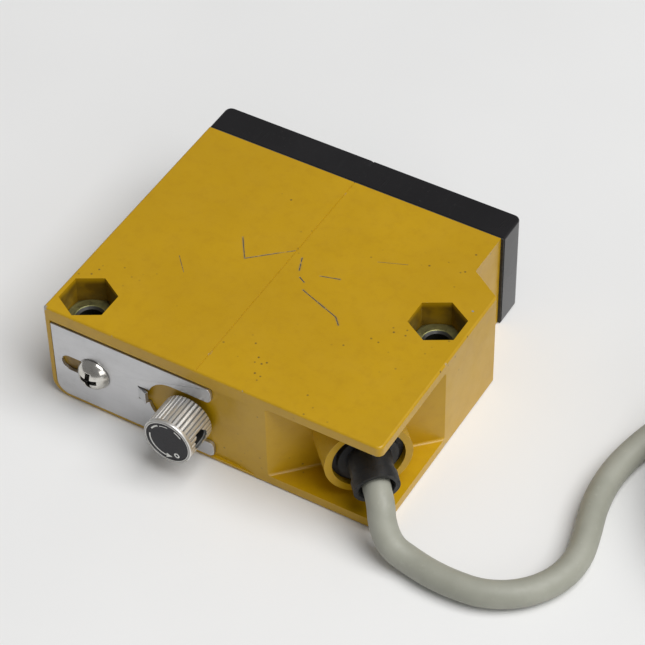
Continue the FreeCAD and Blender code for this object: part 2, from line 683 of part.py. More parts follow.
def build_board():
    """Circuit board on two posts, with its larger components."""
    low = dim("board_low")
    high = low + dim("board_gauge")
    blank = block("board_blank", (LEFT + 11.2, LEFT + 46.6), (FRONT + 13.2, FRONT + 36.6), (low, high))
    holes = [rod(f"board_hole_{number}", 1.1, 3, [*centre, low - 1])
             for number, centre in enumerate(BOARD_POSTS, start=1)]
    node("main_board", cut("board", blank, holes))
    screws = []
    for number, centre in enumerate(BOARD_POSTS, start=1):
        head = rod(f"board_screw_head_{number}", 1.9, 1.3, [*centre, high])
        slot = block(f"board_screw_slot_{number}", (centre[0] - 2, centre[0] + 2),
                     (centre[1] - 0.25, centre[1] + 0.25), (high + 0.8, high + 2))
        shank = rod(f"board_screw_shank_{number}", 0.98, 2.6, [*centre, low - 1.5])
        screws.append(fuse(f"board_screw_{number}", [cut(f"slotted_head_{number}", head, [slot]), shank]))
    node("board_screws", fuse("board_screw_pair", screws))
    chip = [block("chip_case", (LEFT + 21.5, LEFT + 30.0), (FRONT + 19.5, FRONT + 25.5),
                  (high + 0.15, high + 1.6))]
    for number in range(6):
        x = LEFT + (22.4 + 1.27 * number)
        chip.append(block(f"chip_leg_{number}", (x, x + 0.4), (FRONT + 18.3, FRONT + 26.7),
                          (high, high + 0.3)))
    node("control_chip", fuse("chip", chip))
    node("output_transistor", fuse("transistor", [
        block("transistor_case", (LEFT + 13.0, LEFT + 18.0), (FRONT + 21.5, FRONT + 26.0),
              (high, high + 2.2)),
        block("transistor_tab", (LEFT + 13.3, LEFT + 17.7), (FRONT + 20.3, FRONT + 21.6),
              (high, high + 0.5))]))
    capacitors = [rod(f"capacitor_{number}", 2.0, 5.4, [LEFT + x, FRONT + y, high])
                  for number, (x, y) in enumerate([(35.5, 18.5), (35.5, 23.5)], start=1)]
    node("capacitors", fuse("capacitor_pair", capacitors))


GLAND_DROOP = math.radians(10)
GLAND_LEAN = math.radians(2)       # the neck leans a little towards the knob side
KNEE_OUT = 7.6                 # where the gland's neck starts to hang
NECK_LENGTH = 5.1
NECK_WAY = (Rotation(UP, -math.degrees(GLAND_LEAN)).multVec(CABLE_WAY) * math.cos(GLAND_DROOP)
            - UP * math.sin(GLAND_DROOP)).normalize()


def gland_points():
    """The knee of the gland and the end of its neck."""
    knee = niche_point(KNEE_OUT, dim("optic_height").value)
    return knee, knee + NECK_WAY * NECK_LENGTH


def build_gland():
    """Rubber gland in the boss, the cable inside it, and the clamp that takes a pull."""
    height = dim("optic_height")
    radius = dim("cable_diameter") * 0.5
    knee, end = gland_points()
    seat = dim("gland_seat_start")
    passage = [rod("gland_bore", radius, KNEE_OUT + 3, niche_place(-3, height), CABLE_WAY),
               rod("neck_bore", radius, NECK_LENGTH + 2, list(knee), NECK_WAY)]
    bend = doc.addObject("Part::Sphere", "gland_bend")
    bind(bend, Radius=radius)
    place(bend, list(knee))
    neck = doc.addObject("Part::Cone", "gland_neck")
    bind(neck, Radius1=3.55, Radius2=3.15, Height=NECK_LENGTH)
    place(neck, list(knee), along(NECK_WAY))
    joint = doc.addObject("Part::Sphere", "gland_knee")
    bind(joint, Radius=3.55)
    place(joint, list(knee))
    mouth = doc.addObject("Part::Cone", "gland_mouth")
    bind(mouth, Radius1=radius, Radius2=radius + 0.7, Height=1.5)
    place(mouth, list(end - NECK_WAY * 1.5), along(NECK_WAY))
    shapes = [rod("gland_plug", dim("gland_passage_radius") - 0.05, seat + 1, niche_place(-1.0, height),
                  CABLE_WAY),
              rod("gland_flange", dim("gland_seat_radius") - 0.05, 3.6, niche_place(seat, height), CABLE_WAY),
              rod("gland_step", 4.8, 1.0, niche_place(seat + 3.6, height), CABLE_WAY),
              rod("gland_collar", 3.65, 1.9, list(end - NECK_WAY * 1.9), NECK_WAY), joint, neck]
    node("cable_gland", cut("gland", fuse("gland_form", shapes), [*passage, bend, mouth]))

    inner = rod("entry_straight", radius, KNEE_OUT + 6, niche_place(-6, height), CABLE_WAY)
    outer = rod("entry_bent", radius, NECK_LENGTH, list(knee), NECK_WAY)
    turn = doc.addObject("Part::Sphere", "entry_knee")
    bind(turn, Radius=radius)
    place(turn, list(knee))
    node("cable_entry", fuse("entry", [inner, outer, turn]))
    sleeve = fuse("clamp_form", [rod("clamp_sleeve", 2.75, 2.2, niche_place(-5.0, height), CABLE_WAY),
                                 rod("clamp_flange", 4.2, 0.6, niche_place(-3.0, height), CABLE_WAY)])
    node("cable_clamp", cut("clamp", sleeve,
                            [rod("clamp_bore", radius + 0.02, 6, niche_place(-6, height), CABLE_WAY)]))


def build_core_wires():
    """The three insulated cores from the cable's end to the board."""
    high = dim("board_low").value + dim("board_gauge").value
    height = dim("optic_height").value
    for name, side in (("wire_brown", -1.3), ("wire_blue", 0.0), ("wire_black", 1.3)):
        pad_at = Vector(LEFT.value + 42.4 + side * 1.3, FRONT.value + 20.0 + side * 1.3, high)
        tube(name, [niche_point(-6.12, height, side), niche_point(-8.6, height + 0.4, side),
                    pad_at + UP * 3.0, pad_at], 0.6)


def case_point(x, y, z):
    """A point given from the case's left, front and bottom faces."""
    return Vector(LEFT.value + x, FRONT.value + y, z)


def build_cable():
    """The free cable: a tube along its visible run, a round coil of the rest, a tie, and the stripped end."""
    radius = dim("cable_diameter").value / 2
    lying = [(67.4, -4.0), (71.0, -4.7), (75.0, -4.9), (80.1, -4.4), (84.9, -1.7), (88.3, 2.7),
             (89.5, 8.1), (88.4, 13.5), (86.7, 19.4), (86.2, 26.0), (87.3, 33.0), (89.8, 41.2), (93.0, 48.9),
             (97.4, 55.6), (101.9, 61.2)]
    end = gland_points()[1]
    route = [end, end + NECK_WAY * 2.5, case_point(62.0, -2.6, 5.9), case_point(64.3, -3.9, 3.2)]
    route += [case_point(x, y, radius) for x, y in lying]
    tube("cable", route, radius)

    outer, inner = dim("coil_outer"), dim("coil_inner")
    centre = [LEFT + dim("coil_left"), FRONT + dim("coil_depth")]
    diameter = dim("cable_diameter")
    step = inner + diameter
    layers = cut("coil_layers", rod("coil_blank", outer, diameter * 2, [*centre, 0]),
                 [rod("coil_eye", inner, diameter * 3, [*centre, -1])])
    top_layer = cut("coil_top_layer", rod("coil_top_blank", outer, diameter * 3, [*centre, 0]),
                    [rod("coil_step", step, diameter * 4, [*centre, -1])])
    node("cable_coil", fuse("coil", [layers, top_layer]))

    strap = 0.8
    turn = Rotation(UP, -50)
    around = block("tie_outer", (0, 0), (0, 0), (0, 0))
    bind(around, Length=outer - inner + strap * 2, Width=2.6, Height=diameter * 3 + strap)
    hole = block("tie_inner", (0, 0), (0, 0), (0, 0))
    bind(hole, Length=outer - inner, Width=4.6, Height=diameter * 3 - strap)
    for thing, start, low, side in ((around, inner - strap, 0.0, -1.3), (hole, inner, strap, -2.3)):
        offset = turn.multVec(Vector(start.value, side, 0))
        place(thing, [centre[0] + offset.x, centre[1] + offset.y, low], turn)
    node("coil_tie", cut("tie", around, [hole]))

    middle = Vector(centre[0].value, centre[1].value, 0)
    lying_height = 2 * diameter.value + 0.65

    def on_coil(angle, distance, height):
        turned = math.radians(angle)
        return middle + Vector(math.cos(turned), math.sin(turned), 0) * distance + UP * height

    ends = []
    for name, spread in (("lead_brown", 1.0), ("lead_blue", 0.0), ("lead_black", -1.0)):
        before = on_coil(95 - 2 * spread, 19.9 + 1.3 * spread, lying_height)
        last = on_coil(73 - 6 * spread, 18.7 + 1.35 * spread, lying_height)
        tube(name, [on_coil(176, 24.2 + 0.9 * spread, lying_height + 1.5),
                    on_coil(157, 23.4 + 1.0 * spread, lying_height + 1.1),
                    on_coil(137, 21.4 + 1.1 * spread, lying_height + 0.2),
                    on_coil(116, 20.3 + 1.1 * spread, lying_height), before, last], 0.6)
        ends.append(rod(name + "_ferrule", 0.45, 4.5, list(last), (last - before).normalize()))
    node("wire_ferrules", fuse("ferrules", ends))


def write_parts():
    """Checks every object and writes one STEP file for each sub-part."""
    doc.recompute()
    for thing in doc.Objects:
        assert not {"Invalid", "Error"} & set(thing.State), f"{thing.Name} failed: {thing.State}"
    os.makedirs("parts", exist_ok=True)
    for label, thing in nodes.items():
        assert not thing.Shape.isNull() and thing.Shape.isValid(), f"{label} has no valid shape"
        assert thing.Shape.Solids, f"{label} has no solid"
        thing.Shape.exportStep(f"parts/{label}.step")
    print(len(nodes), "sub-parts written")


build_housing()
build_window()
build_gasket()
build_nuts()
build_lock_plate()
build_lock_screw()
knurl(build_knob())
build_adjuster()
build_potentiometer()
build_optics()
build_board()
build_gland()
build_core_wires()
build_cable()
write_parts()
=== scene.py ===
import json
import math

import bmesh
import bpy
from mathutils import Matrix, Vector


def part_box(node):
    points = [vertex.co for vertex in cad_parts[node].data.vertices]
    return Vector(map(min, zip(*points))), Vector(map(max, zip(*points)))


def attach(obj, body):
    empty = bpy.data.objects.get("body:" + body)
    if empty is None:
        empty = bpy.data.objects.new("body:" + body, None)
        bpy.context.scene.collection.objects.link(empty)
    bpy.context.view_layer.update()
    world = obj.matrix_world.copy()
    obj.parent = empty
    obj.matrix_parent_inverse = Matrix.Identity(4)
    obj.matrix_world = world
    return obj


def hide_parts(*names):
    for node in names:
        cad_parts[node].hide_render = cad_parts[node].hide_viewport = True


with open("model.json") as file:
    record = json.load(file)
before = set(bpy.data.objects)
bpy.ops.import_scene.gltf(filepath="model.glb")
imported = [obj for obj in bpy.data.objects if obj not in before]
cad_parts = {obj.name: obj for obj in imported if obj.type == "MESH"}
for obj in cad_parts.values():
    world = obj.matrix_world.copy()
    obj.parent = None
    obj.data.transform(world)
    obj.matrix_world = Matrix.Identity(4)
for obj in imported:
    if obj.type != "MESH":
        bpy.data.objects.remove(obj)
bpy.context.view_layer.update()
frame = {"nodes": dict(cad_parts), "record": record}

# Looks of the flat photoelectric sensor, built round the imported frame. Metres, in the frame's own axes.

MM = 0.001
RECORD = frame["record"]
BODY_OF = {node: body for body, nodes in RECORD["behaviour"]["bodies"].items() for node in nodes}
SLOT_OF = {row["node"]: row["material_slot"] for row in RECORD["subparts"]}
CASE = BODY_OF["housing"]
KNOB = BODY_OF["knob"]

LEFT_INSET = 0.3 * MM          # from the window's left end to where lengths along the case start
CASE_DEPTH = 54.6 * MM         # front face to the window's outer face
CABLE_WIDTH = 4.4              # mm

window_low, window_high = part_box("optical_window")
CASE_LEFT = window_low.x + LEFT_INSET
CASE_FRONT = window_high.y - CASE_DEPTH


def case(x, y, z=0.0):
    """A point in the frame from millimetres to the right, off the front face and off the underside."""
    return Vector((CASE_LEFT + x * MM, CASE_FRONT + y * MM, z * MM))


# Camera

SENSOR = 36.0                  # mm
LENS = 145.6                   # mm
CAMERA_AT = case(185.69, -221.95, 305.56)
CAMERA_TURN = math.radians(31.36)
CAMERA_TILT = math.radians(44.486)
CAMERA_ROLL = math.radians(-1.298)

camera_data = bpy.data.cameras.new("camera")
camera_data.sensor_width = SENSOR
camera_data.lens = LENS
camera_data.clip_start = 0.01
camera = bpy.data.objects.new("camera", camera_data)
camera.matrix_world = (Matrix.Translation(CAMERA_AT) @ Matrix.Rotation(CAMERA_TURN, 4, "Z")
                       @ Matrix.Rotation(CAMERA_TILT, 4, "X") @ Matrix.Rotation(CAMERA_ROLL, 4, "Z"))
bpy.context.scene.collection.objects.link(camera)
bpy.context.scene.camera = camera


# Small helpers

SMOOTH_BELOW = 35.0            # degrees between faces that are shaded as one
BEVEL_ABOVE = 30.0             # degrees between faces whose edge is rounded
FLAT_WITHIN = 0.4              # degrees between facets that are one flat face


def link(piece):
    bpy.context.scene.collection.objects.link(piece)
    return piece


def finish_piece(piece, look, node=None, body=None):
    """Gives a piece its material and its body, and hides the CAD node it stands for."""
    piece.data.materials.clear()
    piece.data.materials.append(look)
    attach(piece, body or BODY_OF[node])
    if node:
        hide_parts(node)
    return piece


def mesh_piece(name, build):
    """A mesh object whose geometry a function writes into a bmesh."""
    mesh = bpy.data.meshes.new(name)
    bm = bmesh.new()
    build(bm)
    bmesh.ops.recalc_face_normals(bm, faces=bm.faces)
    bm.to_mesh(mesh)
    bm.free()
    return link(bpy.data.objects.new(name, mesh))


def smooth(piece, angle):
    """Smooth shading that keeps edges sharper than the angle."""
    piece.data.polygons.foreach_set("use_smooth", [True] * len(piece.data.polygons))
    piece.data.set_sharp_from_angle(angle=math.radians(angle))


def soften(piece, width):
    """Rounds the piece's edges and keeps the shading of its flat faces flat."""
    bevel = piece.modifiers.new("soft_edges", "BEVEL")
    bevel.width = width
    bevel.segments = 3
    bevel.limit_method = "ANGLE"
    bevel.angle_limit = math.radians(BEVEL_ABOVE)
    bevel.harden_normals = True
    bevel.miter_outer = "MITER_ARC"
    weighted = piece.modifiers.new("flat_faces", "WEIGHTED_NORMAL")
    weighted.mode = "FACE_AREA"
    weighted.weight = 100
    weighted.keep_sharp = True


def refined(node, width, look, smooth_below=SMOOTH_BELOW):
    """The CAD node's own shape with clean flat faces and softened edges."""
    mesh = frame["nodes"][node].data.copy()
    bm = bmesh.new()
    bm.from_mesh(mesh)
    bmesh.ops.remove_doubles(bm, verts=bm.verts, dist=1e-6)
    bmesh.ops.dissolve_limit(bm, angle_limit=math.radians(FLAT_WITHIN), verts=bm.verts, edges=bm.edges)
    bm.to_mesh(mesh)
    bm.free()
    piece = link(bpy.data.objects.new(node + "_finish", mesh))
    smooth(piece, smooth_below)
    soften(piece, width)
    return finish_piece(piece, look, node)


def nurbs(name, points, radius, resolution=6):
    """A round cord along one smooth line with these control points."""
    curve = bpy.data.curves.new(name, "CURVE")
    curve.dimensions = "3D"
    curve.resolution_u = resolution
    curve.bevel_depth = radius
    curve.bevel_resolution = 7
    curve.use_fill_caps = True
    spline = curve.splines.new("NURBS")
    spline.points.add(len(points) - 1)
    for control, at in zip(spline.points, points):
        control.co = (*at, 1.0)
    spline.use_endpoint_u = True
    spline.order_u = 3
    return link(bpy.data.objects.new(name, curve))


# Materials

class Graph:
    """A node material, written as expressions on its sockets."""

    def __init__(self, name, metallic=0.0, roughness=0.5, ior=1.5, coat=0.0, transmission=0.0):
        self.material = bpy.data.materials.new(name)
        self.material.use_nodes = True
        self.tree = self.material.node_tree
        self.shader = self.tree.nodes["Principled BSDF"]
        for socket, value in (("Metallic", metallic), ("Roughness", roughness), ("IOR", ior),
                              ("Coat Weight", coat), ("Transmission Weight", transmission)):
            self.shader.inputs[socket].default_value = value
        self.place = self.add("ShaderNodeTexCoord").outputs["Object"]
        self.normal = None

    def add(self, kind, **settings):
        node = self.tree.nodes.new(kind)
        for name, value in settings.items():
            setattr(node, name, value)
        return node

    def feed(self, socket, value):
        if isinstance(value, bpy.types.NodeSocket):
            self.tree.links.new(value, socket)
        elif isinstance(socket.default_value, (int, float)):
            socket.default_value = value
        else:
            socket.default_value = (*value, 1.0) if len(value) < len(socket.default_value) else value

    def math(self, operation, first, second=0.0, clamp=False):
        node = self.add("ShaderNodeMath", operation=operation, use_clamp=clamp)
        self.feed(node.inputs[0], first)
        self.feed(node.inputs[1], second)
        return node.outputs[0]

    def vector(self, operation, first, second=(0, 0, 0)):
        node = self.add("ShaderNodeVectorMath", operation=operation)
        self.feed(node.inputs[0], first)
        if operation == "SCALE":
            self.feed(node.inputs["Scale"], second)
        else:
            self.feed(node.inputs[1], second)
        return node.outputs["Value"] if operation in ("DISTANCE", "DOT_PRODUCT") else node.outputs[0]

    def ramp(self, value, low, high, start=0.0, end=1.0):
        """Turns low to high into start to end with a smooth step; low may be the larger."""
        node = self.add("ShaderNodeMapRange", interpolation_type="SMOOTHSTEP")
        for socket, number in zip(node.inputs, (value, low, high, start, end)):
            self.feed(socket, number)
        return node.outputs[0]

    def mix(self, factor, first, second, blend="MIX"):
        node = self.add("ShaderNodeMix", data_type="RGBA", blend_type=blend)
        colors = [socket for socket in node.inputs if socket.type == "RGBA"]
        self.feed(node.inputs[0], factor)
        self.feed(colors[0], first)
        self.feed(colors[1], second)
        return next(socket for socket in node.outputs if socket.type == "RGBA")

    def noise(self, scale, detail=4.0, roughness=0.55, stretch=(1, 1, 1), shift=0.0):
        """Noise with so many features per metre."""
        mapping = self.add("ShaderNodeMapping")
        self.feed(mapping.inputs["Vector"], self.place)
        mapping.inputs["Scale"].default_value = stretch
        mapping.inputs["Location"].default_value = (shift, shift, shift)
        node = self.add("ShaderNodeTexNoise")
        self.feed(node.inputs["Vector"], mapping.outputs[0])
        for socket, value in (("Scale", scale), ("Detail", detail), ("Roughness", roughness)):
            node.inputs[socket].default_value = value
        return node.outputs[0]

    def cells(self, scale):
        """Distance from the middle of the nearest of so many cells per metre."""
        node = self.add("ShaderNodeTexVoronoi")
        self.feed(node.inputs["Vector"], self.place)
        node.inputs["Scale"].default_value = scale
        return node.outputs["Distance"]

    def bump(self, height, depth, strength=1.0):
        """Adds relief of that depth in metres."""
        node = self.add("ShaderNodeBump")
        node.inputs["Distance"].default_value = depth
        node.inputs["Strength"].default_value = strength
        self.feed(node.inputs["Height"], height)
        if self.normal:
            self.feed(node.inputs["Normal"], self.normal)
        self.normal = node.outputs[0]

    def edges(self, radius):
        """High along convex and concave edges."""
        bevel = self.add("ShaderNodeBevel", samples=6)
        bevel.inputs["Radius"].default_value = radius
        flat = self.add("ShaderNodeNewGeometry").outputs["Normal"]
        return self.math("SUBTRACT", 1.0, self.vector("DOT_PRODUCT", bevel.outputs[0], flat))

    def segment(self, start, end, width):
        """High within that width of a straight line between two points."""
        way = end - start
        offset = self.vector("SUBTRACT", self.place, tuple(start))
        part = self.math("MULTIPLY", self.vector("DOT_PRODUCT", offset, tuple(way)),
                         1 / way.length_squared, clamp=True)
        along = self.vector("SCALE", tuple(way), part)
        gap = self.vector("DISTANCE", offset, along)
        return self.ramp(gap, width, width * 0.35)

    def spot(self, centre, radius, ragged):
        """High within about that distance of a point, with a ragged rim."""
        gap = self.math("ADD", self.vector("DISTANCE", self.place, tuple(centre)), ragged)
        return self.ramp(gap, radius, radius * 0.6)

    def part(self, axis):
        """One coordinate of the place, in metres."""
        node = self.add("ShaderNodeSeparateXYZ")
        self.feed(node.inputs[0], self.place)
        return node.outputs[axis]

    def flat_gap(self, centre):
        """Distance from the vertical line through a point."""
        level = self.vector("MULTIPLY", self.place, (1, 1, 0))
        return self.vector("DISTANCE", level, (centre.x, centre.y, 0))

    def axle_gap(self, low, high):
        """Distance from the line through a box's middle, from front to back."""
        centre = ((low.x + high.x) / 2, 0.0, (low.z + high.z) / 2)
        return self.vector("DISTANCE", self.vector("MULTIPLY", self.place, (1, 0, 1)), centre)

    def highest(self, masks):
        result = masks[0]
        for mask in masks[1:]:
            result = self.math("MAXIMUM", result, mask)
        return result

    def done(self, color, roughness, metallic=None):
        """Joins the sockets to the shader and returns the material."""
        self.feed(self.shader.inputs["Base Color"], color)
        self.feed(self.shader.inputs["Roughness"], roughness)
        if metallic is not None:
            self.feed(self.shader.inputs["Metallic"], metallic)
        if self.normal:
            self.feed(self.shader.inputs["Normal"], self.normal)
        return self.material


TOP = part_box("housing")[1].z / MM
SCRATCHES = [                  # across the top of the case, each as points and a width, in mm
    ([(18.5, 28.6), (21.3, 24.6), (25.2, 28.1)], 0.10),
    ([(25.2, 28.1), (27.4, 30.0)], 0.07),
    ([(29.2, 29.1), (30.2, 26.5)], 0.12),
    ([(31.1, 25.2), (32.2, 24.6)], 0.14),
    ([(33.7, 27.0), (36.8, 27.9)], 0.10),
    ([(33.0, 23.0), (40.4, 20.4), (41.6, 19.1)], 0.12),
    ([(12.0, 20.0), (14.6, 17.2)], 0.05),
]
FAINT_SCRATCH = ([(40.0, 34.2), (44.5, 36.0)], 0.05)      # the only one with no smudge round it
SMUDGE_WIDTH = 3.2             # times the scratch's own width
CHIPS = [                      # bare spots along the case's edges, each as a point and a radius, in mm
    ((-0.3, 0.1, 18.8), 0.70), ((59.9, 20.0, 18.95), 0.30), ((12.5, 0.0, 18.95), 0.22),
    ((-0.4, 30.0, 18.95), 0.25), ((59.8, 20.4, 0.4), 0.40), ((58.2, 31.9, 19.0), 0.20),
    ((36.0, 0.0, 18.95), 0.18),
]
NUT_SEATS = [(4.6, 5.3), (54.5, 27.4)]


def along_scratches(g, scratches, widening=1.0):
    """High along the scratches on the top."""
    masks = []
    for points, width in scratches:
        corners = [case(x, y, TOP) for x, y in points]
        masks += [g.segment(a, b, width * widening * MM) for a, b in zip(corners, corners[1:])]
    return g.highest(masks)


def near_seats(g, outer, inner):
    """High inside a circle of that radius in mm round each nut's middle."""
    return g.highest([g.ramp(g.flat_gap(case(x, y)), outer * MM, inner * MM) for x, y in NUT_SEATS])


def paint_look():
    """Worn mustard paint over a grey casting, with painted shade on the walls of the nut pockets."""
    g = Graph("yellow_paint", roughness=0.36, ior=1.5)
    ragged = g.math("MULTIPLY", g.math("SUBTRACT", g.noise(1500, 5), 0.5), 1.1 * MM)
    broken = g.ramp(g.noise(900, 4, 0.7, shift=3.0), 0.36, 0.50)
    score = g.math("MULTIPLY", along_scratches(g, SCRATCHES + [FAINT_SCRATCH]), broken)
    halo = along_scratches(g, SCRATCHES, SMUDGE_WIDTH)
    chips = g.highest([g.spot(case(*at), radius * MM, ragged) for at, radius in CHIPS])
    worn_edge = g.math("MULTIPLY", g.ramp(g.edges(0.35 * MM), 0.06, 0.25),
                       g.ramp(g.noise(420, 5, 0.7, shift=7.0), 0.60, 0.68))
    bare = g.math("MAXIMUM", g.math("MAXIMUM", score, chips), worn_edge)

    tone = g.mix(g.ramp(g.noise(38, 3), 0.3, 0.7), (0.470, 0.270, 0.0015), (0.515, 0.300, 0.002))
    mottle = g.ramp(g.noise(420, 6, 0.7, shift=1.0), 0.42, 0.75, 0.0, 0.35)
    mottled = g.mix(mottle, tone, (0.40, 0.215, 0.002))
    specks = g.math("MULTIPLY", g.ramp(g.cells(620), 0.16, 0.05),
                    g.ramp(g.noise(70, 2, shift=9.0), 0.55, 0.65))
    grimy = g.mix(g.math("MULTIPLY", specks, 0.8), mottled, (0.07, 0.05, 0.02))
    smudge = g.math("MULTIPLY", g.math("MULTIPLY", halo, 0.45),
                    g.ramp(g.noise(600, 4, shift=5.0), 0.35, 0.6))
    paint_layer = g.mix(smudge, grimy, (0.23, 0.16, 0.05))
    metal = g.mix(g.noise(2500, 3), (0.30, 0.29, 0.27), (0.50, 0.50, 0.48))
    metal = g.mix(g.ramp(score, 0.2, 0.6), metal, (0.075, 0.085, 0.10))
    # painted shade: the walls of the nut pockets are darkened where shade falls in them
    deep = g.ramp(g.part("Z"), (TOP - 0.1) * MM, (TOP - 1.4) * MM)
    pockets = near_seats(g, 5.4, 5.0)
    painted_pocket_shade = g.math("MULTIPLY", g.math("MULTIPLY", pockets, deep),
                  g.ramp(g.noise(240, 5), 0.3, 0.6, 0.45, 0.85))
    # painted shade: the pocket walls turn dark brown
    paint_layer = g.mix(painted_pocket_shade, paint_layer, (0.085, 0.045, 0.006))
    color = g.mix(bare, paint_layer, metal)
    rough = g.ramp(g.noise(160, 5, 0.65, shift=2.0), 0.3, 0.75, 0.30, 0.42)
    rough = g.math("ADD", rough, g.math("MULTIPLY", smudge, 0.25))
    g.bump(g.noise(1100, 3, 0.5), 0.020 * MM, 0.5)
    g.bump(g.math("SUBTRACT", 1.0, bare), 0.045 * MM, 0.9)
    return g.done(color, rough, g.math("MULTIPLY", bare, 0.4))


def window_look():
    """Black infrared-transparent plastic with dust and fine wipe marks."""
    g = Graph("window_black", roughness=0.22, ior=1.52, coat=0.15)
    wipes = g.ramp(g.noise(900, 4, 0.6, stretch=(1.0, 0.12, 0.25)), 0.55, 0.75)
    dust = g.math("MULTIPLY", g.ramp(g.noise(1500, 6, 0.8), 0.58, 0.72),
                  g.ramp(g.noise(60, 3), 0.4, 0.65))
    haze = g.ramp(g.noise(45, 4, 0.6, shift=4.0), 0.35, 0.75)
    color = g.mix(g.math("MULTIPLY", dust, 0.22), (0.0055, 0.005, 0.006), (0.16, 0.15, 0.14))
    color = g.mix(g.math("MULTIPLY", haze, 0.25), color, (0.014, 0.012, 0.014))
    rough = g.math("ADD", g.math("MULTIPLY", haze, 0.16), g.math("MULTIPLY", wipes, 0.10))
    g.bump(g.noise(1300, 3), 0.006 * MM, 0.4)
    return g.done(color, g.math("ADD", rough, 0.20))


def metal_look(name, light, dark, low, high, stretch=(1, 1, 1), scale=1500, depth=0.004,
               grime_amount=0.3, spread=70):
    """Bare or plated metal: fine grain, stains and darker grime in patches. Roughness is low to high."""
    g = Graph(name, metallic=1.0, roughness=low)
    grain = g.noise(scale, 5, 0.6, stretch=stretch)
    stain = g.ramp(g.noise(spread, 4, 0.6, shift=2.5), 0.35, 0.7)
    color = g.mix(stain, light, dark)
    dirt = g.math("MULTIPLY", g.ramp(g.noise(spread * 6, 6, 0.75, shift=6.0), 0.55, 0.72), grime_amount)
    color = g.mix(dirt, color, (0.10, 0.09, 0.07))
    rough = g.math("ADD", g.ramp(grain, 0.3, 0.7, low, high), g.math("MULTIPLY", dirt, 0.4))
    g.bump(grain, depth * MM, 0.6)
    g.bump(g.noise(260, 3, shift=8.0), 0.01 * MM, 0.35)
    return g.done(color, rough, g.math("SUBTRACT", 1.0, g.math("MULTIPLY", dirt, 0.8)))


def knob_look():
    """Bright nickel, with painted shade in the knurl's grooves and inside the rim."""
    g = Graph("knob_nickel", metallic=0.8, roughness=0.34)
    low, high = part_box("knob")
    radius = (high.z - low.z) / 2
    gap = g.axle_gap(low, high)
    # painted shade: the bottoms of the knurl's grooves are darkened
    painted_groove_shade = g.math("MULTIPLY", g.ramp(gap, radius - 0.07 * MM, radius - 0.16 * MM),
                    g.ramp(gap, radius - 0.42 * MM, radius - 0.34 * MM))
    # painted shade: dark and less metallic inside the rim
    painted_inner_shade = g.ramp(gap, radius - 0.50 * MM, radius - 0.60 * MM)
    stain = g.ramp(g.noise(500, 4, 0.6), 0.4, 0.7)
    color = g.mix(stain, (0.80, 0.79, 0.77), (0.68, 0.67, 0.64))
    color = g.mix(g.math("MULTIPLY", painted_groove_shade, 0.62), color, (0.07, 0.068, 0.06))
    color = g.mix(painted_inner_shade, color, (0.03, 0.028, 0.026))
    g.bump(g.noise(2500, 3), 0.003 * MM, 0.4)
    return g.done(color, g.ramp(stain, 0.0, 1.0, 0.30, 0.40), g.ramp(painted_inner_shade, 0.0, 1.0, 0.8, 0.2))


def screw_look():
    """Bright nickel, with painted shade in the cross recess."""
    g = Graph("screw_nickel", metallic=1.0, roughness=0.2)
    low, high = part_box("lock_plate_screw")
    # painted shade: dark and less metallic down in the cross recess
    painted_recess_shade = g.math("MULTIPLY", g.ramp(g.axle_gap(low, high), 1.62 * MM, 1.56 * MM),
                    g.ramp(g.part("Y"), low.y + 0.44 * MM, low.y + 0.56 * MM))
    stain = g.ramp(g.noise(600, 4, 0.6), 0.4, 0.7)
    color = g.mix(stain, (0.74, 0.72, 0.67), (0.60, 0.58, 0.53))
    color = g.mix(painted_recess_shade, color, (0.035, 0.033, 0.03))
    g.bump(g.noise(1500, 3), 0.003 * MM, 0.4)
    return g.done(color, g.ramp(stain, 0.0, 1.0, 0.17, 0.26), g.ramp(painted_recess_shade, 0.0, 1.0, 1.0, 0.3))


def nut_look():
    """Dull olive chromate, its tint partly a painted reflection of the yellow walls, with painted shade
    nearly black down the threaded bore.
    """
    g = Graph("nut_chromate", metallic=0.85, roughness=0.42)
    stain = g.ramp(g.noise(420, 5, 0.65), 0.35, 0.65)
    # olive chromate tone, partly a painted reflection of the yellow pocket walls
    color = g.mix(stain, (0.30, 0.28, 0.11), (0.17, 0.17, 0.075))
    grime = g.ramp(g.noise(900, 5, 0.7, shift=4.0), 0.55, 0.7, 0.0, 0.7)
    color = g.mix(grime, color, (0.045, 0.04, 0.02))
    # painted shade: nearly black down the threaded bore and its countersink
    painted_bore_shade = near_seats(g, 2.62, 2.48)
    color = g.mix(painted_bore_shade, color, (0.012, 0.012, 0.008))
    g.bump(g.noise(1600, 4), 0.02 * MM, 0.5)
    return g.done(color, g.ramp(g.noise(600, 4, shift=2.0), 0.3, 0.7, 0.38, 0.58),
                  g.ramp(painted_bore_shade, 0.0, 1.0, 0.85, 0.1))


def moulded_look(name, first, second, low, high, scale=900, depth=0.01, transmission=0.0, ior=1.5):
    """Moulded plastic or rubber: two close tones, fine grain, dust in patches. Roughness is low to high."""
    g = Graph(name, roughness=low, ior=ior, transmission=transmission)
    tone = g.mix(g.ramp(g.noise(120, 4), 0.35, 0.7), first, second)
    dust = g.math("MULTIPLY", g.ramp(g.noise(scale, 6, 0.75, shift=3.0), 0.56, 0.75), 0.3)
    lighter = [min(1.0, part * 1.5 + 0.05) for part in second]
    grain = g.noise(scale * 1.6, 3, shift=1.0)
    g.bump(grain, depth * MM, 0.5)
    dusty = g.mix(dust, tone, lighter)
    return g.done(dusty, g.math("ADD", g.ramp(grain, 0.3, 0.7, low, high), g.math("MULTIPLY", dust, 0.3)))


def floor_look():
    """Plain pale paper."""
    g = Graph("floor", roughness=0.6)
    tone = g.mix(g.ramp(g.noise(6, 3), 0.3, 0.7), (0.80, 0.80, 0.795), (0.83, 0.83, 0.825))
    return g.done(tone, g.ramp(g.noise(30, 3), 0.3, 0.7, 0.5, 0.65))


